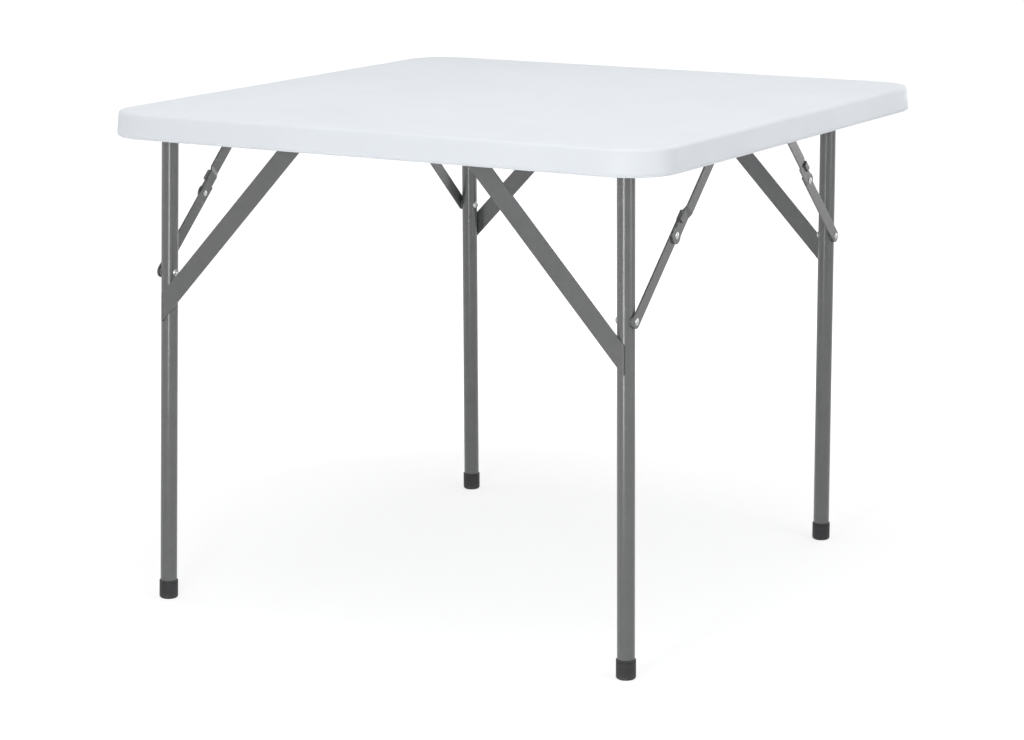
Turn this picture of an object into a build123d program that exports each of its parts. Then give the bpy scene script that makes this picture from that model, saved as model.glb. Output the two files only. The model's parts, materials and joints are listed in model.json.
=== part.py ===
from build123d import *
from dataclasses import dataclass
from math import atan2, copysign, cos, degrees, hypot, radians, sin, sqrt, tan
import os

# Clearances, and how far each cut runs past the face that it opens
running_fit = 0.08
seat_fit = 0.05
slide_gap = 0.3
fold_clearance = 1.0
overrun = 6.0

# Whole table
table_height = 740.0
table_side = 914.0

# Moulded top with its rim, and the round tack-off dimples in its recessed underside
rim_height = 38.0
rim_width = 28.0
rim_draft = 3.8
corner_radius = 72.0
rim_lower_radius = 6.0
rim_upper_radius = 5.0
rim_inner_radius = 2.5
panel_thickness = 12.0
pocket_corner_radius = 20.0
dimple_margin = 109.0
dimple_mouth_radius = 9.0
dimple_floor_radius = 5.0
dimple_depth = 4.0
dimples_per_side = 9

# Side rails, folded channels that are open below
rail_width = 21.0
rail_sheet = 1.5
rail_end_gap = 24.0
rail_bend_radius = 2.0
rail_screw_inset = 45.0
rail_screws_per_side = 4

# Pan-head screws
screw_radius = 2.0
screw_length = 9.0
screw_head_radius = 4.0
screw_head_height = 2.0
screw_recess_radius = 1.6
screw_recess_depth = 1.2

# Tubes of the leg frames
tube_diameter = 25.0
tube_wall = 1.2
neck_diameter = 12.0
shoulder_length = 5.0
neck_overhang = 1.5
leg_top_cut = 4.0

# Nylon bushes that the necks turn in
bush_wall = 1.5
bush_flange_width = 3.0
bush_flange_thickness = 1.5
bush_tail = 4.0

# Leg frames: how far their pivots lie inside the rim, and how far the legs lean out
front_pivot_inset = 43.0
front_lean_run = 18.7
back_pivot_inset = 48.0
back_lean_run = 2.7
nest_offset = 48.0
nest_gap = 1.2
back_splay = 1.0

# Foot caps
foot_wall = 1.5
foot_height = 28.0
foot_floor = 4.0
foot_rounding = 4.0
foot_groove_width = 1.0
foot_groove_depth = 0.6
foot_lip_height = 3.0

# Diagonal braces
brace_width = 28.0
brace_thickness = 2.0
front_brace_drop = 261.0
back_brace_drop = 256.0
front_brace_run = 236.0
back_brace_run = 246.0
brace_top_overlap = 6.0
brace_wrap_angle = 13.0

# Folding stays, which run from the leg pivot over the knuckle to the upper pivot
leg_pivot_drop = 229.0
stay_anchor = 227.0
stay_width = 19.0
stay_thickness = 2.5
knuckle_plate_radius = 12.0
joggle_start = 39.0
joggle_run = 7.0
joggle_bend_radius = 2.0
plate_end = 18.0
hook_start = 20.0
hook_end = 36.0
hook_arm_width = 8.0
hook_gap = 0.4
hook_lip_overlap = 7.0
hook_bend_radius = 2.0

# Rivets and the washers that space the stays
rivet_radius = 3.0
rivet_head_radius = 5.2
rivet_head_height = 2.2
upper_head_radius = 4.5
knuckle_tail_height = 0.8
leg_tail_height = 3.2
head_edge_share = 0.3
leg_washer_radius = 8.0
leg_washer_thickness = 1.0
pivot_washer_radius = 8.0
pivot_washer_thickness = 2.6

# Brackets that carry the back frame's upper stays
bracket_sheet = 2.5
bracket_web_length = 30.0
bracket_length = 46.0
bracket_width = 17.0
bracket_depth = 25.0
bracket_screw_spacing = 28.0
bracket_bend_radius = 2.0

# Places that follow from the sizes above
tube_radius = tube_diameter / 2
neck_radius = neck_diameter / 2
foot_radius = tube_radius + foot_wall
rim_bottom = table_height - rim_height
panel_bottom = table_height - panel_thickness
leg_pivot_height = panel_bottom - leg_pivot_drop
pocket_half = table_side / 2 - rim_width
rail_outer = pocket_half - fold_clearance
rail_inner = rail_outer - rail_width
rail_depth = rim_height - panel_thickness
rail_length = 2 * (pocket_half - rail_end_gap)
stack_width = leg_washer_thickness + 3 * stay_thickness + 4 * slide_gap + pivot_washer_thickness

QUARTERS = [
    ("front", "right", []),
    ("front", "left", [Plane.YZ]),
    ("back", "right", [Plane.XZ]),
    ("back", "left", [Plane.XZ, Plane.YZ]),
]


@dataclass
class LegFrame:
    """A pair of legs with its cross tube, drawn with its pivot at -Y and its foot below it."""

    pivot_reach: float
    lean_run: float
    pivot_height: float
    pivot_spread: float
    floor_spread: float
    brace_drop: float
    brace_run: float

    @property
    def lean(self):
        return atan2(self.lean_run, self.pivot_height)

    @property
    def slope_length(self):
        return hypot(self.lean_run, self.pivot_height)

    @property
    def pivot(self):
        return Vector(0, -self.pivot_reach, self.pivot_height)

    def leg_point(self, height):
        """Point of the right leg's axis at a height above the floor."""
        share = 1 - height / self.pivot_height
        spread = self.pivot_spread + (self.floor_spread - self.pivot_spread) * share
        return Vector(spread, -self.pivot_reach - self.lean_run * share, height)

    @property
    def leg_direction(self):
        return (self.leg_point(self.pivot_height) - self.leg_point(0)).normalized()

    @property
    def brace_top_reach(self):
        return self.pivot_spread - self.brace_run

    @property
    def upper_pivot(self):
        return Vector(0, stay_anchor - self.pivot_reach, self.pivot_height)

    @property
    def leg_pivot(self):
        return self.leg_point(leg_pivot_height)

    @property
    def stay_angle(self):
        """Slope of the straight stay above the horizontal, in radians."""
        run = self.upper_pivot - self.leg_pivot
        return atan2(run.Z, run.Y)

    @property
    def stay_length(self):
        run = self.upper_pivot - self.leg_pivot
        return hypot(run.Z, run.Y)

    @property
    def lower_stay_length(self):
        """Lower bar's length, for which the stay also lies straight when the leg is folded flat."""
        arm = hypot(self.leg_pivot.Y - self.pivot.Y, self.leg_pivot.Z - self.pivot.Z)
        return (self.stay_length - (stay_anchor - arm)) / 2

    @property
    def upper_stay_length(self):
        return self.stay_length - self.lower_stay_length

    @property
    def knuckle(self):
        along = self.upper_stay_length
        return self.upper_pivot - Vector(0, along * cos(self.stay_angle), along * sin(self.stay_angle))

    @property
    def lower_stay_face(self):
        """Distance of the lower stay's inner face from the table's middle."""
        return self.leg_pivot.X + tube_radius + leg_washer_thickness + slide_gap

    @property
    def upper_stay_face(self):
        return self.lower_stay_face + stay_thickness + slide_gap

    @property
    def joggled_face(self):
        return self.upper_stay_face + stay_thickness + slide_gap

    @property
    def support_face(self):
        """Face of the rail or bracket that the upper pivot's washer lies on."""
        return self.joggled_face + stay_thickness + slide_gap + pivot_washer_thickness

    def stay_plane(self, reach):
        """Plane of a stay's flat side: x runs up the stay from the knuckle, z points outwards."""
        up_the_stay = (0, cos(self.stay_angle), sin(self.stay_angle))
        return Plane(origin=(reach, self.knuckle.Y, self.knuckle.Z), x_dir=up_the_stay, z_dir=(1, 0, 0))

    def stay_edge_plane(self):
        """Plane across the stay's width: x runs up the stay from the knuckle, y points outwards."""
        up_the_stay = (0, cos(self.stay_angle), sin(self.stay_angle))
        down_across = (0, sin(self.stay_angle), -cos(self.stay_angle))
        return Plane(origin=(0, self.knuckle.Y, self.knuckle.Z), x_dir=up_the_stay, z_dir=down_across)


def make_frames():
    """The back frame nests beside the front one's legs and above its braces."""
    back_height = panel_bottom - foot_radius - fold_clearance
    front_height = back_height - nest_gap
    front_floor_spread = rail_inner - fold_clearance - foot_radius
    front_leg_pivot_spread = rail_inner - stack_width - tube_radius
    height_share = leg_pivot_height / front_height
    front_splay = (front_floor_spread - front_leg_pivot_spread) / height_share
    front_pivot_spread = front_floor_spread - front_splay
    back_pivot_spread = front_pivot_spread - nest_offset
    front = LegFrame(
        pocket_half - front_pivot_inset, front_lean_run, front_height,
        front_pivot_spread, front_floor_spread, front_brace_drop, front_brace_run,
    )
    back = LegFrame(
        pocket_half - back_pivot_inset, back_lean_run, back_height,
        back_pivot_spread, back_pivot_spread + back_splay, back_brace_drop, back_brace_run,
    )
    return {"front": front, "back": back}


def write(drawn, label, planes=()):
    """Name and write a piece, mirrored across each plane from where it is drawn."""
    placed = drawn
    for plane in planes:
        with BuildPart() as mirrored:
            mirror(placed, about=plane)
        placed = mirrored.part
    with BuildPart() as finished:
        add(placed)
    finished.part.label = label
    export_step(finished.part, f"parts/{label}.step")


def turning_plane(centre):
    """Plane for profiles turned about the X line through a point: x outwards, y up."""
    return Plane(origin=(0, centre.Y, centre.Z), x_dir=(1, 0, 0), z_dir=(0, -1, 0))


def turning_axis(centre):
    return Axis((0, centre.Y, centre.Z), (1, 0, 0))


def draw_domed_head(seat, top, radius):
    """Draw a rivet head's half outline, from its seat to its top, both measured along X."""
    edge = seat + (top - seat) * head_edge_share
    rise = abs(top - edge)
    ball_radius = (radius**2 + rise**2) / (2 * rise)
    sag = ball_radius - sqrt(ball_radius**2 - radius**2 / 4)
    middle = top - copysign(sag, top - seat)
    Polyline((seat, 0), (seat, radius), (edge, radius))
    ThreePointArc((edge, radius), (middle, radius / 2), (top, 0))
    Line((top, 0), (seat, 0))


# Top

def make_tabletop(frames):
    lower_side = table_side + 2 * rim_lower_radius * rim_draft / rim_height
    dimple_pitch = 2 * (pocket_half - dimple_margin) / (dimples_per_side - 1)
    with BuildPart() as tabletop:
        with BuildSketch(Plane.XY.offset(rim_bottom)):
            RectangleRounded(lower_side, lower_side, corner_radius)
        extrude(amount=rim_height, taper=degrees(atan2(rim_draft, rim_height)))
        fillet(tabletop.faces().sort_by(Axis.Z)[-1].edges(), rim_upper_radius)
        fillet(tabletop.faces().sort_by(Axis.Z)[0].edges(), rim_lower_radius)
        with BuildSketch(Plane.XY.offset(rim_bottom)):
            RectangleRounded(2 * pocket_half, 2 * pocket_half, pocket_corner_radius)
        extrude(amount=rim_height - panel_thickness, mode=Mode.SUBTRACT)
        fillet(tabletop.faces().sort_by(Axis.Z)[0].inner_wires()[0].edges(), rim_inner_radius)
        with Locations(Plane.XY.offset(panel_bottom)):
            with GridLocations(dimple_pitch, dimple_pitch, dimples_per_side, dimples_per_side):
                Cone(
                    dimple_mouth_radius, dimple_floor_radius, dimple_depth,
                    align=(Align.CENTER, Align.CENTER, Align.MIN), mode=Mode.SUBTRACT,
                )
        with Locations(*rail_screw_places(), *bracket_screw_places(frames["back"])):
            Cylinder(
                screw_radius + seat_fit, screw_length + seat_fit,
                align=(Align.CENTER, Align.CENTER, Align.MIN), mode=Mode.SUBTRACT,
            )
    return tabletop.part


# Rails, brackets and their screws

def rail_screw_places():
    """Points on the underside of the panel where the rails' screws enter it."""
    middle = (rail_inner + rail_outer) / 2
    last = rail_length / 2 - rail_screw_inset
    spacing = 2 * last / (rail_screws_per_side - 1)
    rows = [spacing * index - last for index in range(rail_screws_per_side)]
    return [(side * middle, row, panel_bottom) for side in (1, -1) for row in rows]


def make_side_rail(frames):
    middle = (rail_inner + rail_outer) / 2
    with BuildPart() as rail:
        with BuildSketch(Plane.XZ):
            with Locations((middle, panel_bottom - rail_depth / 2)):
                Rectangle(rail_width, rail_depth)
        extrude(amount=rail_length / 2, both=True)
        fillet(rail.faces().sort_by(Axis.Z)[-1].edges().filter_by(Axis.Y), rail_bend_radius)
        with BuildSketch(Plane.XZ):
            with Locations((middle, panel_bottom - rail_sheet - rail_depth / 2)):
                Rectangle(rail_width - 2 * rail_sheet, rail_depth)
        extrude(amount=rail_length / 2 + overrun, both=True, mode=Mode.SUBTRACT)
        for frame, end in ((frames["front"], 1), (frames["back"], -1)):
            with BuildSketch(Plane.YZ.offset(rail_inner)):
                with Locations((end * frame.pivot.Y, frame.pivot.Z)):
                    Circle(neck_radius + running_fit + bush_wall)
            extrude(amount=rail_sheet + overrun, mode=Mode.SUBTRACT)
        with BuildSketch(Plane.YZ.offset(rail_inner)):
            with Locations((frames["front"].upper_pivot.Y, frames["front"].upper_pivot.Z)):
                Circle(rivet_radius + seat_fit)
        extrude(amount=rail_sheet + overrun, mode=Mode.SUBTRACT)
        right_screws = [place for place in rail_screw_places() if place[0] > 0]
        with Locations(*right_screws):
            Cylinder(screw_radius + seat_fit, 2 * overrun, mode=Mode.SUBTRACT)
    return rail.part


def bracket_screw_places(frame):
    """Points on the underside of the panel where the back brackets' screws enter it."""
    inner = frame.support_face
    middle = inner + (bracket_sheet + bracket_bend_radius + bracket_width) / 2
    half = bracket_screw_spacing / 2
    rows = [-frame.upper_pivot.Y - half, -frame.upper_pivot.Y + half]
    return [(side * middle, row, panel_bottom) for side in (1, -1) for row in rows]


def make_stay_bracket(frame):
    """Angle bracket at the upper pivot of the back frame's stay, drawn at the front right."""
    pivot = frame.upper_pivot
    inner = frame.support_face
    web_rounding = bracket_web_length / 3
    with BuildPart() as bracket:
        with BuildSketch(Plane.YZ.offset(inner)):
            with Locations((pivot.Y, panel_bottom - bracket_depth / 2)):
                Rectangle(bracket_web_length, bracket_depth)
        extrude(amount=bracket_sheet)
        fillet(bracket.edges().filter_by(Axis.X).group_by(Axis.Z)[0], web_rounding)
        with BuildSketch(Plane.XY.offset(panel_bottom - bracket_sheet)):
            with Locations((inner + bracket_width / 2, pivot.Y)):
                Rectangle(bracket_width, bracket_length)
        extrude(amount=bracket_sheet)
        fillet(bracket.edges().filter_by(Axis.Z).group_by(Axis.X)[-1], bracket_sheet)
        bend = (inner + bracket_sheet, pivot.Y, panel_bottom - bracket_sheet)
        fillet(bracket.edges().filter_by(Axis.Y).sort_by_distance(bend)[0], bracket_bend_radius)
        with BuildSketch(Plane.YZ.offset(inner)):
            with Locations((pivot.Y, pivot.Z)):
                Circle(rivet_radius + seat_fit)
        extrude(amount=bracket_sheet + overrun, mode=Mode.SUBTRACT)
        drawn_screws = [(x, -y, z) for x, y, z in bracket_screw_places(frame) if x > 0]
        with Locations(*drawn_screws):
            Cylinder(screw_radius + seat_fit, 2 * overrun, mode=Mode.SUBTRACT)
    return bracket.part


def make_screw(seat_drop):
    """Pan-head screw whose shank ends in the panel and whose head bears on a sheet below it."""
    with BuildPart() as screw:
        Cylinder(screw_radius, screw_length + seat_drop, align=(Align.CENTER, Align.CENTER, Align.MIN))
        with Locations((0, 0, -screw_head_height)):
            Cylinder(
                screw_head_radius, screw_head_height, align=(Align.CENTER, Align.CENTER, Align.MIN)
            )
        rim = screw.faces().sort_by(Axis.Z)[0].edges()
        fillet(rim, screw_head_height / 2)
        with BuildSketch(Plane.XY.offset(-screw_head_height)):
            RegularPolygon(screw_recess_radius, 6)
        extrude(amount=screw_recess_depth, mode=Mode.SUBTRACT)
    return screw.part


def make_screws(places, seat_drop):
    screw = make_screw(seat_drop)
    with BuildPart() as screws:
        with Locations(*[(x, y, z - seat_drop) for x, y, z in places]):
            add(screw)
    return screws.part


def make_pivot_bush(frame):
    bore = neck_radius + running_fit
    sleeve_end = rail_inner + rail_sheet + bush_tail
    with BuildPart() as bush:
        with BuildSketch(turning_plane(frame.pivot)):
            with BuildLine():
                Polyline(
                    (rail_inner - bush_flange_thickness, bore),
                    (rail_inner - bush_flange_thickness, bore + bush_wall + bush_flange_width),
                    (rail_inner, bore + bush_wall + bush_flange_width),
                    (rail_inner, bore + bush_wall),
                    (sleeve_end, bore + bush_wall),
                    (sleeve_end, bore),
                    close=True,
                )
            make_face()
        revolve(axis=turning_axis(frame.pivot))
    return bush.part


# Leg frames

def make_cross_tube(frame):
    """Tube between the rails with a narrower neck at each end, holed for its bore."""
    shoulder = rail_inner - bush_flange_thickness - slide_gap
    neck_end = rail_inner + rail_sheet + bush_tail + neck_overhang
    with BuildPart() as tube:
        with BuildSketch(turning_plane(frame.pivot)):
            with BuildLine():
                Polyline(
                    (-neck_end, neck_radius - tube_wall),
                    (-neck_end, neck_radius),
                    (-shoulder, neck_radius),
                    (-shoulder + shoulder_length, tube_radius),
                    (shoulder - shoulder_length, tube_radius),
                    (shoulder, neck_radius),
                    (neck_end, neck_radius),
                    (neck_end, neck_radius - tube_wall),
                    (shoulder - tube_wall, neck_radius - tube_wall),
                    (shoulder - shoulder_length - tube_wall, tube_radius - tube_wall),
                    (-shoulder + shoulder_length + tube_wall, tube_radius - tube_wall),
                    (-shoulder + tube_wall, neck_radius - tube_wall),
                    close=True,
                )
            make_face()
        revolve(axis=turning_axis(frame.pivot))
    return tube.part


def leg_plane(frame, height):
    """Plane square to the right leg's axis, with x outwards."""
    direction = frame.leg_direction
    outwards = Vector(1, 0, 0) - direction * direction.X
    return Plane(origin=frame.leg_point(height), x_dir=outwards, z_dir=direction)


def make_leg(frame):
    """Right leg, coped under the cross tube and drilled for the stay's rivet."""
    start = leg_plane(frame, foot_floor)
    length = (frame.leg_point(frame.pivot_height - leg_top_cut) - frame.leg_point(foot_floor)).length
    pivot = frame.leg_pivot
    with BuildPart() as leg:
        with BuildSketch(start):
            Circle(tube_radius)
            Circle(tube_radius - tube_wall, mode=Mode.SUBTRACT)
        extrude(amount=length)
        with BuildSketch(Plane.YZ.offset(frame.pivot_spread)):
            with Locations((frame.pivot.Y, frame.pivot.Z)):
                Circle(tube_radius)
        extrude(amount=tube_diameter, both=True, mode=Mode.SUBTRACT)
        with BuildSketch(Plane.YZ.offset(pivot.X)):
            with Locations((pivot.Y, pivot.Z)):
                Circle(rivet_radius + seat_fit)
        extrude(amount=tube_diameter, both=True, mode=Mode.SUBTRACT)
    return leg.part


def make_foot(frame):
    """Rubber cap round the end of the leg, with its sole cut level."""
    plane = leg_plane(frame, 0)
    tilt = atan2(hypot(frame.leg_direction.X, frame.leg_direction.Y), frame.leg_direction.Z)
    sole = -foot_radius * tan(tilt)
    bore_floor = foot_floor / cos(tilt)
    groove_top = foot_height - foot_lip_height
    groove_bottom = groove_top - foot_groove_width
    profile = Plane(origin=plane.origin, x_dir=plane.x_dir, z_dir=-plane.y_dir)
    with BuildPart() as foot:
        with BuildSketch(profile):
            with BuildLine():
                Polyline(
                    (0, bore_floor),
                    (0, sole),
                    (foot_radius - foot_rounding, sole),
                )
                RadiusArc(
                    (foot_radius - foot_rounding, sole), (foot_radius, sole + foot_rounding), -foot_rounding
                )
                Polyline(
                    (foot_radius, sole + foot_rounding),
                    (foot_radius, groove_bottom),
                    (foot_radius - foot_groove_depth, groove_bottom),
                    (foot_radius - foot_groove_depth, groove_top),
                    (foot_radius, groove_top),
                    (foot_radius, foot_height - foot_groove_depth),
                    (foot_radius - foot_groove_depth, foot_height),
                    (tube_radius + seat_fit, foot_height),
                    (tube_radius + seat_fit, bore_floor),
                    (0, bore_floor),
                )
            make_face()
        revolve(axis=Axis(plane.origin, plane.z_dir))
        split(bisect_by=Plane.XY, keep=Keep.TOP)
    return foot.part


def make_brace(frame):
    """Flat strip on the outer face of the frame, from the cross tube to round the right leg."""
    up_the_frame = Vector(0, frame.lean_run, frame.pivot_height).normalized()
    frame_plane = Plane(
        origin=frame.pivot, x_dir=(1, 0, 0), z_dir=Vector(1, 0, 0).cross(up_the_frame)
    )
    drop_share = frame.brace_drop / frame.slope_length
    leg_reach = frame.pivot_spread + (frame.floor_spread - frame.pivot_spread) * drop_share
    run = leg_reach - frame.brace_top_reach
    length = hypot(run, frame.brace_drop)
    along = Vector(run / length, -frame.brace_drop / length)
    across = Vector(-along.Y, along.X)
    top = Vector(frame.brace_top_reach, 0)
    corners = []
    for edge in (brace_width / 2, -brace_width / 2):
        start = (brace_top_overlap - across.Y * edge) / along.Y
        corners.append(top + across * edge + along * start)
    far_end = length + 2 * tube_diameter
    for edge in (-brace_width / 2, brace_width / 2):
        corners.append(top + across * edge + along * far_end)
    outer_radius = tube_radius + brace_thickness
    wrap = radians(brace_wrap_angle)
    sheet_start = leg_plane(frame, 0)
    with BuildPart() as brace:
        with BuildSketch(sheet_start):
            with BuildLine():
                Polyline(
                    (0, -tube_radius),
                    (-frame.floor_spread, -tube_radius),
                    (-frame.floor_spread, -outer_radius),
                    (0, -outer_radius),
                )
                CenterArc((0, 0), outer_radius, -90, brace_wrap_angle)
                Line(
                    (outer_radius * sin(wrap), -outer_radius * cos(wrap)),
                    (tube_radius * sin(wrap), -tube_radius * cos(wrap)),
                )
                CenterArc((0, 0), tube_radius, -90, brace_wrap_angle)
            make_face()
        extrude(amount=frame.slope_length + tube_diameter)
        with BuildSketch(frame_plane):
            with BuildLine():
                Polyline(*corners, close=True)
            make_face()
        extrude(amount=outer_radius + overrun, mode=Mode.INTERSECT)
    return brace.part


# Folding stays

def make_upper_stay(frame):
    """Bar from the knuckle to the upper pivot, stepped outwards just past the lower bar's hook."""
    length = frame.upper_stay_length
    step_end = joggle_start + joggle_run
    inner, joggled = frame.upper_stay_face, frame.joggled_face
    far = length + knuckle_plate_radius
    near = -2 * knuckle_plate_radius
    with BuildPart() as stay:
        with BuildSketch(frame.stay_edge_plane()):
            with BuildLine():
                FilletPolyline(
                    (near, inner),
                    (joggle_start, inner),
                    (step_end, joggled),
                    (far, joggled),
                    (far, joggled + stay_thickness),
                    (step_end, joggled + stay_thickness),
                    (joggle_start, inner + stay_thickness),
                    (near, inner + stay_thickness),
                    radius=(0, joggle_bend_radius, joggle_bend_radius, 0, 0,
                            joggle_bend_radius, joggle_bend_radius, 0),
                    close=True,
                )
            make_face()
        extrude(amount=2 * knuckle_plate_radius, both=True)
        with BuildSketch(frame.stay_plane(inner)):
            Circle(knuckle_plate_radius)
            with Locations((length / 2, 0)):
                Rectangle(length, stay_width)
            with Locations((length, 0)):
                Circle(stay_width / 2)
                Circle(rivet_radius + running_fit, mode=Mode.SUBTRACT)
            Circle(rivet_radius + seat_fit, mode=Mode.SUBTRACT)
        extrude(amount=joggled - inner + stay_thickness, mode=Mode.INTERSECT)
    return stay.part


def make_lower_stay(frame):
    """Bar from the leg to past the knuckle, with a hook on an arm that stops on the upper bar's edge."""
    length = frame.lower_stay_length
    hook_low = stay_width / 2 + hook_gap
    hook_high = hook_low + stay_thickness
    hook_middle = (hook_start + hook_end) / 2
    hook_length = hook_end - hook_start
    arm_low = stay_width / 2 - hook_arm_width
    lip_face = frame.upper_stay_face + stay_thickness + slide_gap
    with BuildPart() as stay:
        with BuildSketch(frame.stay_plane(frame.lower_stay_face)):
            with Locations(((plate_end - length) / 2, 0)):
                Rectangle(length + plate_end, stay_width)
            with Locations(((plate_end + hook_end) / 2, arm_low + hook_arm_width / 2)):
                Rectangle(hook_end - plate_end, hook_arm_width)
            with Locations((-length, 0)):
                Circle(stay_width / 2)
            with Locations((hook_middle, (arm_low + hook_high) / 2)):
                Rectangle(hook_length, hook_high - arm_low)
            with Locations((-length, 0)):
                Circle(rivet_radius + seat_fit, mode=Mode.SUBTRACT)
            Circle(rivet_radius + running_fit, mode=Mode.SUBTRACT)
        extrude(amount=stay_thickness)
        with BuildSketch(frame.stay_plane(frame.lower_stay_face)):
            with Locations((hook_middle, (hook_low + hook_high) / 2)):
                Rectangle(hook_length, stay_thickness)
        extrude(amount=lip_face + stay_thickness - frame.lower_stay_face)
        with BuildSketch(frame.stay_plane(lip_face)):
            with Locations((hook_middle, hook_high - (hook_lip_overlap + stay_thickness) / 2)):
                Rectangle(hook_length, hook_lip_overlap + stay_thickness)
        extrude(amount=stay_thickness)
        bend_direction = Axis((0, 0, 0), (0, cos(frame.stay_angle), sin(frame.stay_angle)))
        long_edges = stay.edges().filter_by(bend_direction)
        fillet(long_edges.sort_by(lambda edge: bend_rank(frame, edge))[-2:], hook_bend_radius)
    return stay.part


def bend_rank(frame, edge):
    """How far an edge lies towards the upper side of the stay, where the hook's outer bends are."""
    return frame.stay_plane(0).to_local_coords(edge.center()).Y


def make_knuckle_rivet(frame):
    """Rivet held by the upper bar, on which the lower bar turns."""
    outer_face = frame.upper_stay_face + stay_thickness
    inner_face = frame.lower_stay_face - slide_gap
    return turned_rivet(
        frame.knuckle, inner_face, outer_face,
        rivet_head_radius, outer_face + rivet_head_height,
        upper_head_radius, inner_face - knuckle_tail_height,
    )


def make_stay_pivot_rivet(frame, sheet):
    """Rivet held by the rail or bracket, on which the upper bar turns."""
    outer_face = frame.support_face + sheet
    inner_face = frame.joggled_face - slide_gap
    return turned_rivet(
        frame.upper_pivot, inner_face, outer_face,
        rivet_head_radius, outer_face + rivet_head_height,
        upper_head_radius, inner_face - rivet_head_height + slide_gap,
    )


def turned_rivet(centre, inner_face, outer_face, outer_radius, outer_top, inner_radius, inner_top):
    """Rivet along X with a domed head beyond each of two faces."""
    with BuildPart() as rivet:
        with BuildSketch(turning_plane(centre)):
            with BuildLine():
                draw_domed_head(outer_face, outer_top, outer_radius)
            make_face()
            with BuildLine():
                draw_domed_head(inner_face, inner_top, inner_radius)
            make_face()
            with Locations(((inner_face + outer_face) / 2, rivet_radius / 2)):
                Rectangle(outer_face - inner_face, rivet_radius)
        revolve(axis=turning_axis(centre))
    return rivet.part


def make_leg_rivet(frame):
    """Rivet through the leg tube and its washer, with a domed head on the tube's inner side."""
    pivot = frame.leg_pivot
    outer_face = frame.lower_stay_face - slide_gap
    head_top = pivot.X - tube_radius - leg_tail_height
    shank_start = pivot.X - tube_radius - leg_tail_height / 2
    with BuildPart() as rivet:
        with BuildSketch(turning_plane(pivot)):
            with BuildLine():
                draw_domed_head(pivot.X, head_top, rivet_head_radius)
            make_face()
        revolve(axis=turning_axis(pivot))
        with BuildSketch(leg_plane(frame, leg_pivot_height - tube_diameter)):
            Circle(tube_radius)
        extrude(amount=2 * tube_diameter, mode=Mode.SUBTRACT)
        with BuildSketch(Plane.YZ.offset(shank_start)):
            with Locations((pivot.Y, pivot.Z)):
                Circle(rivet_radius)
        extrude(amount=outer_face - shank_start)
    return rivet.part


def make_leg_washer(frame):
    """Spacer between the round leg and the flat stay, hollowed to sit on the tube."""
    pivot = frame.leg_pivot
    with BuildPart() as washer:
        with BuildSketch(Plane.YZ.offset(pivot.X)):
            with Locations((pivot.Y, pivot.Z)):
                Circle(leg_washer_radius)
                Circle(rivet_radius + seat_fit, mode=Mode.SUBTRACT)
        extrude(amount=frame.lower_stay_face - slide_gap - pivot.X)
        with BuildSketch(leg_plane(frame, leg_pivot_height - tube_diameter)):
            Circle(tube_radius)
        extrude(amount=2 * tube_diameter, mode=Mode.SUBTRACT)
    return washer.part


def make_leg_rivet_head(frame):
    """Outer head of the leg rivet, with the short shank that fills the lower bar's hole."""
    pivot = frame.leg_pivot
    outer_face = frame.lower_stay_face + stay_thickness
    with BuildPart() as head:
        with BuildSketch(turning_plane(pivot)):
            with BuildLine():
                draw_domed_head(outer_face, outer_face + rivet_head_height, rivet_head_radius)
            make_face()
            with Locations((outer_face - stay_thickness / 2, rivet_radius / 2)):
                Rectangle(stay_thickness, rivet_radius)
        revolve(axis=turning_axis(pivot))
    return head.part


def make_pivot_washer(frame):
    pivot = frame.upper_pivot
    with BuildPart() as washer:
        with BuildSketch(Plane.YZ.offset(frame.support_face - pivot_washer_thickness)):
            with Locations((pivot.Y, pivot.Z)):
                Circle(pivot_washer_radius)
                Circle(rivet_radius + seat_fit, mode=Mode.SUBTRACT)
        extrude(amount=pivot_washer_thickness)
    return washer.part


# All pieces, each written as its own node

os.makedirs("parts", exist_ok=True)
frames = make_frames()

write(make_tabletop(frames), "tabletop")
right_rail = make_side_rail(frames)
write(right_rail, "side_rail_right")
write(right_rail, "side_rail_left", [Plane.YZ])
write(make_screws(rail_screw_places(), rail_sheet), "rail_screws")
bracket = make_stay_bracket(frames["back"])
write(bracket, "stay_bracket_right", [Plane.XZ])
write(bracket, "stay_bracket_left", [Plane.XZ, Plane.YZ])
write(make_screws(bracket_screw_places(frames["back"]), bracket_sheet), "bracket_screws")

for end, planes in (("front", []), ("back", [Plane.XZ])):
    write(make_cross_tube(frames[end]), f"{end}_cross_tube", planes)

for end, side, planes in QUARTERS:
    frame = frames[end]
    support_sheet = rail_sheet if end == "front" else bracket_sheet
    pieces = {
        "pivot_bush": make_pivot_bush(frame),
        "leg": make_leg(frame),
        "foot": make_foot(frame),
        "brace": make_brace(frame),
        "upper_stay": make_upper_stay(frame),
        "lower_stay": make_lower_stay(frame),
        "knuckle_rivet": make_knuckle_rivet(frame),
        "stay_pivot_rivet": make_stay_pivot_rivet(frame, support_sheet),
        "pivot_washer": make_pivot_washer(frame),
        "leg_rivet": make_leg_rivet(frame),
        "leg_rivet_head": make_leg_rivet_head(frame),
        "leg_washer": make_leg_washer(frame),
    }
    for name, piece in pieces.items():
        write(piece, f"{end}_{name}_{side}", planes)
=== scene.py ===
import json
from math import cos, pi, radians, sin

import bmesh
import bpy
from mathutils import Matrix, Vector


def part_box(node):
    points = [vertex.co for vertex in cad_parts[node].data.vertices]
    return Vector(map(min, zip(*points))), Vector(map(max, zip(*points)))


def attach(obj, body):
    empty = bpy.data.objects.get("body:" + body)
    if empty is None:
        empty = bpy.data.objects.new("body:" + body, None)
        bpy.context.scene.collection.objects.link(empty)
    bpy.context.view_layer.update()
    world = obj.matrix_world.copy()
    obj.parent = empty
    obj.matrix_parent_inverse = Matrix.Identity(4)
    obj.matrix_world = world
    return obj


# Lengths are in metres and angles in degrees, in the table's own frame.

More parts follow.
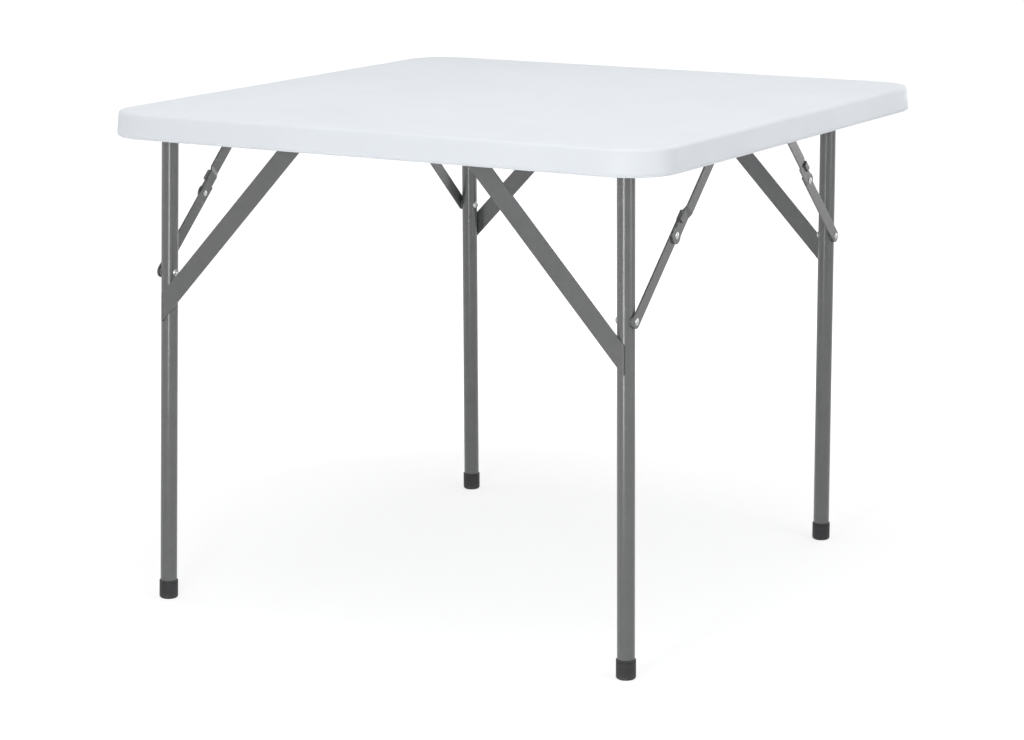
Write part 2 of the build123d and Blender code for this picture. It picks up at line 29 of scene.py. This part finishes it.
# Camera
CAMERA_PLACE = Vector((2.1373, -3.7000, 1.2401))
CAMERA_AZIMUTH = 30.3
CAMERA_PITCH = 12.188
CAMERA_ROLL = -0.189
SENSOR_WIDTH = 36.0
IMAGE_WIDTH = 1024
FOCAL_PIXELS = 2831.1

# Soft studio light: each lamp's direction and distance from AIM, its width and height, its power
AIM = Vector((0.0, 0.0, 0.45))
SOFTBOXES = {
    "key_softbox": dict(azimuth=9.0, elevation=5.5, distance=2.13, size=(0.38, 1.3), watts=12.5),
    "left_softbox": dict(azimuth=-75.0, elevation=14.0, distance=3.2, size=(2.2, 1.6), watts=14.0),
    "right_softbox": dict(azimuth=85.0, elevation=14.0, distance=3.2, size=(1.2, 2.0), watts=19.0),
    "high_softbox": dict(azimuth=85.0, elevation=50.0, distance=3.0, size=(1.6, 1.6), watts=6.0),
    "front_softbox": dict(azimuth=10.0, elevation=50.0, distance=2.8, size=(1.6, 1.6), watts=4.0),
    "top_softbox": dict(azimuth=30.0, elevation=84.0, distance=2.8, size=(2.4, 2.4), watts=40.0),
    "rear_softbox": dict(azimuth=165.0, elevation=8.0, distance=3.4, size=(2.0, 1.4), watts=16.0),
}
SKY_LEVEL = 0.26

# Floor, which glows less near the table, so that the table's shadow shows there
FLOOR_HALF = 14.0
FLOOR_NEAR_GLOW = 0.72
FLOOR_NEAR_RADIUS = 0.75
FLOOR_FAR_RADIUS = 1.5

# Colours; a pair is the darker and the lighter shade that a surface varies between
WHITE = (1.0, 1.0, 1.0, 1.0)
FLOOR_COLOUR = (0.90, 0.90, 0.90, 1.0)
FLOOR_SHADOW_COLOUR = (0.42, 0.42, 0.42, 1.0)
TOP_COLOURS = (0.784, 0.820, 0.862, 1.0), (0.808, 0.842, 0.880, 1.0)
TOP_SCUFF_COLOUR = (0.74, 0.77, 0.80, 1.0)
FRAME_COLOURS = (0.106, 0.108, 0.109, 1.0), (0.120, 0.122, 0.123, 1.0)
# Lighter grey painted on the frame's sheet edges, as a painted highlight
FRAME_EDGE_HIGHLIGHT_COLOUR = (0.33, 0.33, 0.33, 1.0)
RAIL_COLOURS = (0.110, 0.112, 0.114, 1.0), (0.124, 0.126, 0.128, 1.0)
# Lighter grey painted on the rails' sheet edges, as a painted highlight
RAIL_EDGE_HIGHLIGHT_COLOUR = (0.36, 0.36, 0.36, 1.0)
ZINC_COLOURS = (0.44, 0.445, 0.45, 1.0), (0.64, 0.645, 0.65, 1.0)
RUBBER_COLOURS = (0.026, 0.026, 0.028, 1.0), (0.038, 0.038, 0.041, 1.0)
RUBBER_DUST_COLOUR = (0.16, 0.155, 0.15, 1.0)
NYLON_COLOURS = (0.030, 0.030, 0.032, 1.0), (0.048, 0.048, 0.050, 1.0)

# Scales that draw out the noise of the top's scuffs and of the zinc's turning marks
SCUFF_STRETCH = (60.0, 9.0, 60.0)
TURNING_STRETCH = (3.0, 1.0, 1.0)

# Heights between which the dust on the rubber feet fades out
DUST_HEIGHTS = (0.001, 0.010)

# Cosine of the angle between the rounded normal and the true one, on an edge and on a flat
EDGE_COSINES = (0.72, 0.97)
BEVEL_SAMPLES = 6

# Socket numbers of a Mix node that mixes colours
MIX_FACTOR, MIX_FIRST, MIX_SECOND, MIX_RESULT = 0, 6, 7, 2

# Weld beads, which taper over their last rings to a share of their radius
BEAD_SIDES = 10
BEAD_RADIUS = 0.0015
SADDLE_BEAD_RADIUS = 0.0016
BEAD_END_SHARE = 0.35
BEAD_END_RINGS = 3
RIPPLE_LENGTH = 0.0024
RIPPLE_SHARE = 0.22
BEAD_STEP = 0.0006
FEWEST_BEAD_STEPS = 4
SADDLE_POINTS = 96

# How far a brace's welded edges lie, at most, from its outermost and its topmost point
WRAPPED_EDGE_DEPTH = 0.0012
UPPER_EDGE_DEPTH = 0.0006

SIDES = {"right": 1, "left": -1}
ENDS = ("front", "back")


# Nodes of a material or of the world, which is their owner

def clear_nodes(owner):
    owner.use_nodes = True
    owner.node_tree.nodes.clear()


def connect(owner, value, socket):
    """Link a socket to an input, or set the input to a plain value."""
    if isinstance(value, bpy.types.NodeSocket):
        owner.node_tree.links.new(value, socket)
    else:
        socket.default_value = value


def add_node(owner, kind, inputs=None, **settings):
    """Add a shader node, set its options, and connect its inputs."""
    node = owner.node_tree.nodes.new(kind)
    for name, value in settings.items():
        setattr(node, name, value)
    for socket, value in (inputs or {}).items():
        connect(owner, value, node.inputs[socket])
    return node


def place_socket(owner):
    return add_node(owner, "ShaderNodeTexCoord").outputs["Object"]


def stretched(owner, place, scale):
    inputs = {"Vector": place, "Scale": scale}
    return add_node(owner, "ShaderNodeMapping", inputs).outputs["Vector"]


def noise(owner, place, scale, detail=2.0, roughness=0.5):
    inputs = {"Vector": place, "Scale": scale, "Detail": detail, "Roughness": roughness}
    return add_node(owner, "ShaderNodeTexNoise", inputs).outputs["Fac"]


def spread(owner, value, source=(0.0, 1.0), target=(0.0, 1.0)):
    """Map a value from the source range to the target range, held at both ends."""
    inputs = {
        "Value": value,
        "From Min": source[0],
        "From Max": source[1],
        "To Min": target[0],
        "To Max": target[1],
    }
    return add_node(owner, "ShaderNodeMapRange", inputs, clamp=True).outputs["Result"]


def mixed(owner, factor, first, second):
    inputs = {MIX_FACTOR: factor, MIX_FIRST: first, MIX_SECOND: second}
    return add_node(owner, "ShaderNodeMix", inputs, data_type="RGBA").outputs[MIX_RESULT]


def arithmetic(owner, operation, first, second):
    inputs = {0: first, 1: second}
    return add_node(owner, "ShaderNodeMath", inputs, operation=operation).outputs[0]


def rounded_normal(owner, radius):
    inputs = {"Radius": radius}
    return add_node(owner, "ShaderNodeBevel", inputs, samples=BEVEL_SAMPLES).outputs["Normal"]


def edge_share(owner, radius):
    """1 on a sharp edge and 0 on a flat, from how far the rounded normal leaves the true one."""
    true_normal = add_node(owner, "ShaderNodeNewGeometry").outputs["Normal"]
    inputs = {0: rounded_normal(owner, radius), 1: true_normal}
    dot = add_node(owner, "ShaderNodeVectorMath", inputs, operation="DOT_PRODUCT")
    return spread(owner, dot.outputs["Value"], source=EDGE_COSINES, target=(1.0, 0.0))


def bump(owner, height, normal, strength, distance):
    inputs = {"Height": height, "Strength": strength, "Distance": distance, "Normal": normal}
    return add_node(owner, "ShaderNodeBump", inputs).outputs["Normal"]


def mirror_share(owner, paths):
    """1 for a ray that is seen in a reflection or through glass, and 0 for any other."""
    return arithmetic(owner, "MAXIMUM", paths["Is Glossy Ray"], paths["Is Transmission Ray"])


# Materials

def new_material(name, **constants):
    """Material with a Principled shader alone, whose constants are set on its own sockets."""
    material = bpy.data.materials.new(name)
    clear_nodes(material)
    output = add_node(material, "ShaderNodeOutputMaterial")
    shader = add_node(material, "ShaderNodeBsdfPrincipled")
    for socket, value in constants.items():
        shader.inputs[socket.replace("_", " ")].default_value = value
    connect(material, shader.outputs["BSDF"], output.inputs["Surface"])
    return material, shader


def finished(material, shader, colour, roughness, normal):
    connect(material, colour, shader.inputs["Base Color"])
    connect(material, roughness, shader.inputs["Roughness"])
    connect(material, normal, shader.inputs["Normal"])
    return material


def moulded_top():
    """Cool white moulded plastic with a fine pebble grain, slow ripples and faint scuffs."""
    material, shader = new_material("moulded_top", IOR=1.5, Specular_IOR_Level=0.42)
    place = place_socket(material)
    cloud = noise(material, place, scale=5.0, detail=3.0)
    colour = mixed(material, spread(material, cloud, source=(0.35, 0.65)), *TOP_COLOURS)
    drawn_out = stretched(material, place, SCUFF_STRETCH)
    scuffs = noise(material, drawn_out, scale=3.0, detail=5.0, roughness=0.7)
    scuffs = spread(material, scuffs, source=(0.66, 0.78), target=(0.0, 0.35))
    colour = mixed(material, scuffs, colour, TOP_SCUFF_COLOUR)
    sheen = noise(material, place, scale=38.0, detail=3.0)
    roughness = spread(material, sheen, source=(0.3, 0.7), target=(0.44, 0.56))
    ripple = noise(material, place, scale=16.0, detail=1.0)
    grain = noise(material, place, scale=620.0, roughness=0.55)
    normal = rounded_normal(material, radius=0.0012)
    normal = bump(material, ripple, normal, strength=0.12, distance=0.0008)
    normal = bump(material, grain, normal, strength=0.22, distance=0.00022)
    return finished(material, shader, colour, roughness, normal)


def powder_coat(name, dark, light, edge_highlight_colour):
    """Satin grey powder coat with orange peel, and a painted highlight in a lighter grey, laid in
    patches along the sheet's edges.
    """
    material, shader = new_material(name, IOR=1.5, Specular_IOR_Level=0.8)
    place = place_socket(material)
    mottle = noise(material, place, scale=26.0, detail=4.0, roughness=0.6)
    colour = mixed(material, spread(material, mottle, source=(0.35, 0.65)), dark, light)
    speckle = noise(material, place, scale=1500.0, detail=1.0)
    speckle = spread(material, speckle, source=(0.60, 0.72), target=(0.0, 0.35))
    colour = mixed(material, speckle, colour, light)
    # Painted highlight: a lighter grey laid in noise patches on sharp edges, standing for light
    # caught by the edges
    patches = noise(material, place, scale=55.0, detail=4.0, roughness=0.65)
    patches = spread(material, patches, source=(0.52, 0.66), target=(0.0, 0.55))
    painted_edge_highlight = arithmetic(material, "MULTIPLY", edge_share(material, radius=0.0007), patches)
    colour = mixed(material, painted_edge_highlight, colour, edge_highlight_colour)
    sheen = noise(material, place, scale=70.0, detail=3.0)
    roughness = spread(material, sheen, source=(0.3, 0.7), target=(0.20, 0.26))
    peel = noise(material, place, scale=900.0)
    normal = rounded_normal(material, radius=0.0006)
    normal = bump(material, peel, normal, strength=0.12, distance=0.00012)
    return finished(material, shader, colour, roughness, normal)


def bright_zinc():
    """Zinc-plated steel with turning marks and a little dullness."""
    material, shader = new_material("bright_zinc", Metallic=1.0, Anisotropic=0.25)
    place = place_socket(material)
    blotch = noise(material, place, scale=240.0, detail=3.0, roughness=0.6)
    colour = mixed(material, blotch, *ZINC_COLOURS)
    roughness = spread(material, blotch, source=(0.3, 0.7), target=(0.26, 0.42))
    marks = noise(material, stretched(material, place, TURNING_STRETCH), scale=1600.0)
    normal = rounded_normal(material, radius=0.0004)
    normal = bump(material, marks, normal, strength=0.25, distance=0.00005)
    return finished(material, shader, colour, roughness, normal)


def foot_rubber():
    """Charcoal rubber, dusty and scuffed pale towards the sole."""
    material, shader = new_material("foot_rubber", Specular_IOR_Level=0.4)
    place = place_socket(material)
    height = add_node(material, "ShaderNodeSeparateXYZ", {"Vector": place}).outputs["Z"]
    low = spread(material, height, source=DUST_HEIGHTS, target=(0.5, 0.0))
    patches = noise(material, place, scale=160.0, detail=4.0, roughness=0.7)
    patches = spread(material, patches, source=(0.45, 0.65))
    dust = arithmetic(material, "MULTIPLY", low, patches)
    cloud = noise(material, place, scale=60.0, detail=3.0)
    colour = mixed(material, dust, mixed(material, cloud, *RUBBER_COLOURS), RUBBER_DUST_COLOUR)
    roughness = spread(material, patches, target=(0.58, 0.74))
    grain = noise(material, place, scale=1100.0)
    normal = rounded_normal(material, radius=0.0005)
    normal = bump(material, grain, normal, strength=0.3, distance=0.0001)
    return finished(material, shader, colour, roughness, normal)


def bush_nylon():
    """Dark nylon with a fine grain."""
    material, shader = new_material("bush_nylon", Specular_IOR_Level=0.5)
    place = place_socket(material)
    cloud = noise(material, place, scale=90.0, detail=3.0)
    colour = mixed(material, cloud, *NYLON_COLOURS)
    sheen = noise(material, place, scale=300.0)
    roughness = spread(material, sheen, source=(0.3, 0.7), target=(0.38, 0.5))
    grain = noise(material, place, scale=800.0)
    normal = rounded_normal(material, radius=0.0004)
    normal = bump(material, grain, normal, strength=0.15, distance=0.0001)
    return finished(material, shader, colour, roughness, normal)


def make_materials():
    """One material for each material slot of the record."""
    return {
        "top_plastic": moulded_top(),
        "frame_steel": powder_coat("frame_steel", *FRAME_COLOURS, FRAME_EDGE_HIGHLIGHT_COLOUR),
        "rail_steel": powder_coat("rail_steel", *RAIL_COLOURS, RAIL_EDGE_HIGHLIGHT_COLOUR),
        "bright_zinc": bright_zinc(),
        "foot_rubber": foot_rubber(),
        "bush_nylon": bush_nylon(),
    }


def dress_nodes(frame, materials):
    """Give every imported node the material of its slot."""
    for part in frame["record"]["subparts"]:
        mesh = frame["nodes"][part["node"]].data
        mesh.materials.clear()
        mesh.materials.append(materials[part["material_slot"]])


def add_object(name, data):
    added = bpy.data.objects.new(name, data)
    bpy.context.scene.collection.objects.link(added)
    return added


# Weld beads

def bead_ring(shape, point, along, radius):
    """Ring of vertices round a point, square to the bead's line."""
    aside = along.orthogonal().normalized()
    upward = along.cross(aside)
    ring = []
    for corner in range(BEAD_SIDES):
        turn = 2 * pi * corner / BEAD_SIDES
        offset = aside * cos(turn) + upward * sin(turn)
        ring.append(shape.verts.new(point + offset * radius))
    return ring


def nearest_shift(first, second):
    """How many corners the second ring is turned from the first."""
    distances = [(second[shift].co - first[0].co).length for shift in range(len(second))]
    return distances.index(min(distances))


def join_rings(shape, first, second):
    shift = nearest_shift(first, second)
    for corner in range(BEAD_SIDES):
        following = (corner + 1) % BEAD_SIDES
        shape.faces.new((
            first[corner],
            first[following],
            second[(following + shift) % BEAD_SIDES],
            second[(corner + shift) % BEAD_SIDES],
        ))


def bead(name, points, radius, body, material):
    """Rippled bead of weld metal along a line of points, closed at both ends, riding on a body."""
    mesh = bpy.data.meshes.new(name)
    shape = bmesh.new()
    rings = []
    travelled = 0.0
    last = len(points) - 1
    for index, point in enumerate(points):
        before = points[max(index - 1, 0)]
        after = points[min(index + 1, last)]
        travelled += (point - before).length
        from_end = min(index, last - index) / BEAD_END_RINGS
        taper = min(1.0, BEAD_END_SHARE + (1.0 - BEAD_END_SHARE) * from_end)
        wave = 0.5 + 0.5 * cos(2 * pi * travelled / RIPPLE_LENGTH)
        ripple = 1.0 - RIPPLE_SHARE * wave
        along = (after - before).normalized()
        rings.append(bead_ring(shape, point, along, radius * taper * ripple))
    for first, second in zip(rings, rings[1:]):
        join_rings(shape, first, second)
    shape.faces.new(rings[0])
    shape.faces.new(rings[-1])
    bmesh.ops.recalc_face_normals(shape, faces=shape.faces)
    for face in shape.faces:
        face.smooth = True
    shape.to_mesh(mesh)
    shape.free()
    mesh.materials.append(material)
    piece = add_object(name, mesh)
    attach(piece, body)


def straight_points(start, end):
    count = max(FEWEST_BEAD_STEPS, round((end - start).length / BEAD_STEP))
    return [start.lerp(end, index / count) for index in range(count + 1)]


def saddle_points(end, side):
    """Closed line where the round leg meets the round cross tube, from the boxes of both."""
    tube_low, tube_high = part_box(f"{end}_cross_tube")
    leg_low, leg_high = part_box(f"{end}_leg_{side}")
    foot_low, foot_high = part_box(f"{end}_foot_{side}")
    radius = (tube_high.z - tube_low.z) / 2
    middle = (tube_low + tube_high) / 2
    top_x = leg_low.x + radius if side == "right" else leg_high.x - radius
    top = Vector((top_x, middle.y, middle.z))
    bottom = (foot_low + foot_high) / 2
    down = (bottom - top).normalized()
    points = []
    for index in range(SADDLE_POINTS + 1):
        turn = 2 * pi * index / SADDLE_POINTS
        drop = radius * abs(cos(turn))
        points.append(top + Vector((radius * cos(turn), radius * sin(turn), 0.0)) + down * drop)
    return points


def brace_edges(frame, end, side):
    """Ends of a brace's welded edges: the wrapped one on the leg, then the one on the cross tube."""
    places = [vertex.co for vertex in frame["nodes"][f"{end}_brace_{side}"].data.vertices]
    hand = SIDES[side]
    reach = max(place.x * hand for place in places)
    wrapped = [place for place in places if place.x * hand > reach - WRAPPED_EDGE_DEPTH]
    wrapped.sort(key=lambda place: place.z)
    top = max(place.z for place in places)
    upper = [place for place in places if place.z > top - UPPER_EDGE_DEPTH]
    upper.sort(key=lambda place: place.x)
    return (wrapped[0], wrapped[-1]), (upper[0], upper[-1])


def make_welds(frame, material):
    for end in ENDS:
        body = f"{end}_leg_frame"
        for side in SIDES:
            saddle = saddle_points(end, side)
            bead(f"{end}_leg_weld_{side}", saddle, SADDLE_BEAD_RADIUS, body, material)
            wrapped, upper = (straight_points(*edge) for edge in brace_edges(frame, end, side))
            bead(f"{end}_brace_end_weld_{side}", wrapped, BEAD_RADIUS, body, material)
            bead(f"{end}_brace_top_weld_{side}", upper, BEAD_RADIUS, body, material)


# Floor, light and camera

def make_floor():
    """Pale floor that looks white away from the table and keeps the table's soft shadow."""
    mesh = bpy.data.meshes.new("floor")
    corners = [(-1, -1), (1, -1), (1, 1), (-1, 1)]
    places = [(x * FLOOR_HALF, y * FLOOR_HALF, 0.0) for x, y in corners]
    mesh.from_pydata(places, [], [(0, 1, 2, 3)])
    material = bpy.data.materials.new("floor")
    clear_nodes(material)
    output = add_node(material, "ShaderNodeOutputMaterial")
    paths = add_node(material, "ShaderNodeLightPath").outputs
    place = {0: place_socket(material)}
    length = add_node(material, "ShaderNodeVectorMath", place, operation="LENGTH")
    radii = (FLOOR_NEAR_RADIUS, FLOOR_FAR_RADIUS)
    glow = spread(material, length.outputs["Value"], source=radii, target=(FLOOR_NEAR_GLOW, 1.0))
    plain = add_node(material, "ShaderNodeBsdfDiffuse", {"Color": FLOOR_COLOUR})
    shadowed = add_node(material, "ShaderNodeBsdfDiffuse", {"Color": FLOOR_SHADOW_COLOUR})
    glowing = add_node(material, "ShaderNodeEmission", {"Strength": glow})
    white = add_node(material, "ShaderNodeEmission", {"Strength": 1.0})
    seen = add_node(material, "ShaderNodeAddShader", {
        0: shadowed.outputs["BSDF"],
        1: glowing.outputs["Emission"],
    })
    bounced = add_node(material, "ShaderNodeMixShader", {
        0: mirror_share(material, paths),
        1: plain.outputs["BSDF"],
        2: white.outputs["Emission"],
    })
    final = add_node(material, "ShaderNodeMixShader", {
        0: paths["Is Camera Ray"],
        1: bounced.outputs["Shader"],
        2: seen.outputs["Shader"],
    })
    connect(material, final.outputs["Shader"], output.inputs["Surface"])
    mesh.materials.append(material)
    floor = add_object("floor", mesh)


def make_world():
    """White to the camera and in reflections, and a plain level of light to all else."""
    world = bpy.data.worlds.new("studio")
    clear_nodes(world)
    bpy.context.scene.world = world
    output = add_node(world, "ShaderNodeOutputWorld")
    paths = add_node(world, "ShaderNodeLightPath").outputs
    sky = add_node(world, "ShaderNodeBackground", {"Color": WHITE, "Strength": SKY_LEVEL})
    white = add_node(world, "ShaderNodeBackground", {"Color": WHITE, "Strength": 1.0})
    seen = arithmetic(world, "MAXIMUM", mirror_share(world, paths), paths["Is Camera Ray"])
    final = add_node(world, "ShaderNodeMixShader", {
        0: seen,
        1: sky.outputs["Background"],
        2: white.outputs["Background"],
    })
    connect(world, final.outputs["Shader"], output.inputs["Surface"])


def direction_from(azimuth, elevation):
    """Direction from the table towards a point at an azimuth from -Y and an elevation."""
    turn, rise = radians(azimuth), radians(elevation)
    return Vector((sin(turn) * cos(rise), -cos(turn) * cos(rise), sin(rise)))


def make_softbox(name, azimuth, elevation, distance, size, watts):
    data = bpy.data.lights.new(name, "AREA")
    data.shape = "RECTANGLE"
    data.size, data.size_y = size
    data.energy = watts
    softbox = add_object(name, data)
    softbox.visible_camera = False
    direction = direction_from(azimuth, elevation)
    softbox.location = AIM + direction * distance
    softbox.rotation_euler = direction.to_track_quat("Z", "Y").to_euler()


def make_camera():
    """Camera at the photograph's viewing angle."""
    turn, roll = radians(CAMERA_AZIMUTH), radians(CAMERA_ROLL)
    back = direction_from(CAMERA_AZIMUTH, CAMERA_PITCH)
    level = Vector((cos(turn), sin(turn), 0.0))
    upward = back.cross(level)
    right = level * cos(roll) + upward * sin(roll)
    top = upward * cos(roll) - level * sin(roll)
    axes = Matrix((right, top, back)).transposed().to_4x4()
    data = bpy.data.cameras.new("camera")
    data.sensor_fit = "HORIZONTAL"
    data.sensor_width = SENSOR_WIDTH
    data.lens = FOCAL_PIXELS * SENSOR_WIDTH / IMAGE_WIDTH
    camera = add_object("camera", data)
    camera.matrix_world = Matrix.Translation(CAMERA_PLACE) @ axes
    bpy.context.scene.camera = camera


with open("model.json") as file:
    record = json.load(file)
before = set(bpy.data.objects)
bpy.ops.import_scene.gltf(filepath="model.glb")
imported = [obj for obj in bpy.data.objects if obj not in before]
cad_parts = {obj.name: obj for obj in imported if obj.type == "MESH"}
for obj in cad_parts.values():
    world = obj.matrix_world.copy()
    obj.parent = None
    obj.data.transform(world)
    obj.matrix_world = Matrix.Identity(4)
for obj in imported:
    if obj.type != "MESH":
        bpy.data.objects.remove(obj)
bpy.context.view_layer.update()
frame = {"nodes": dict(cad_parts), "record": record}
materials = make_materials()
dress_nodes(frame, materials)
make_welds(frame, materials["frame_steel"])
make_floor()
make_world()
for name, settings in SOFTBOXES.items():
    make_softbox(name, **settings)
make_camera()
bpy.context.scene.view_settings.view_transform = "Standard"
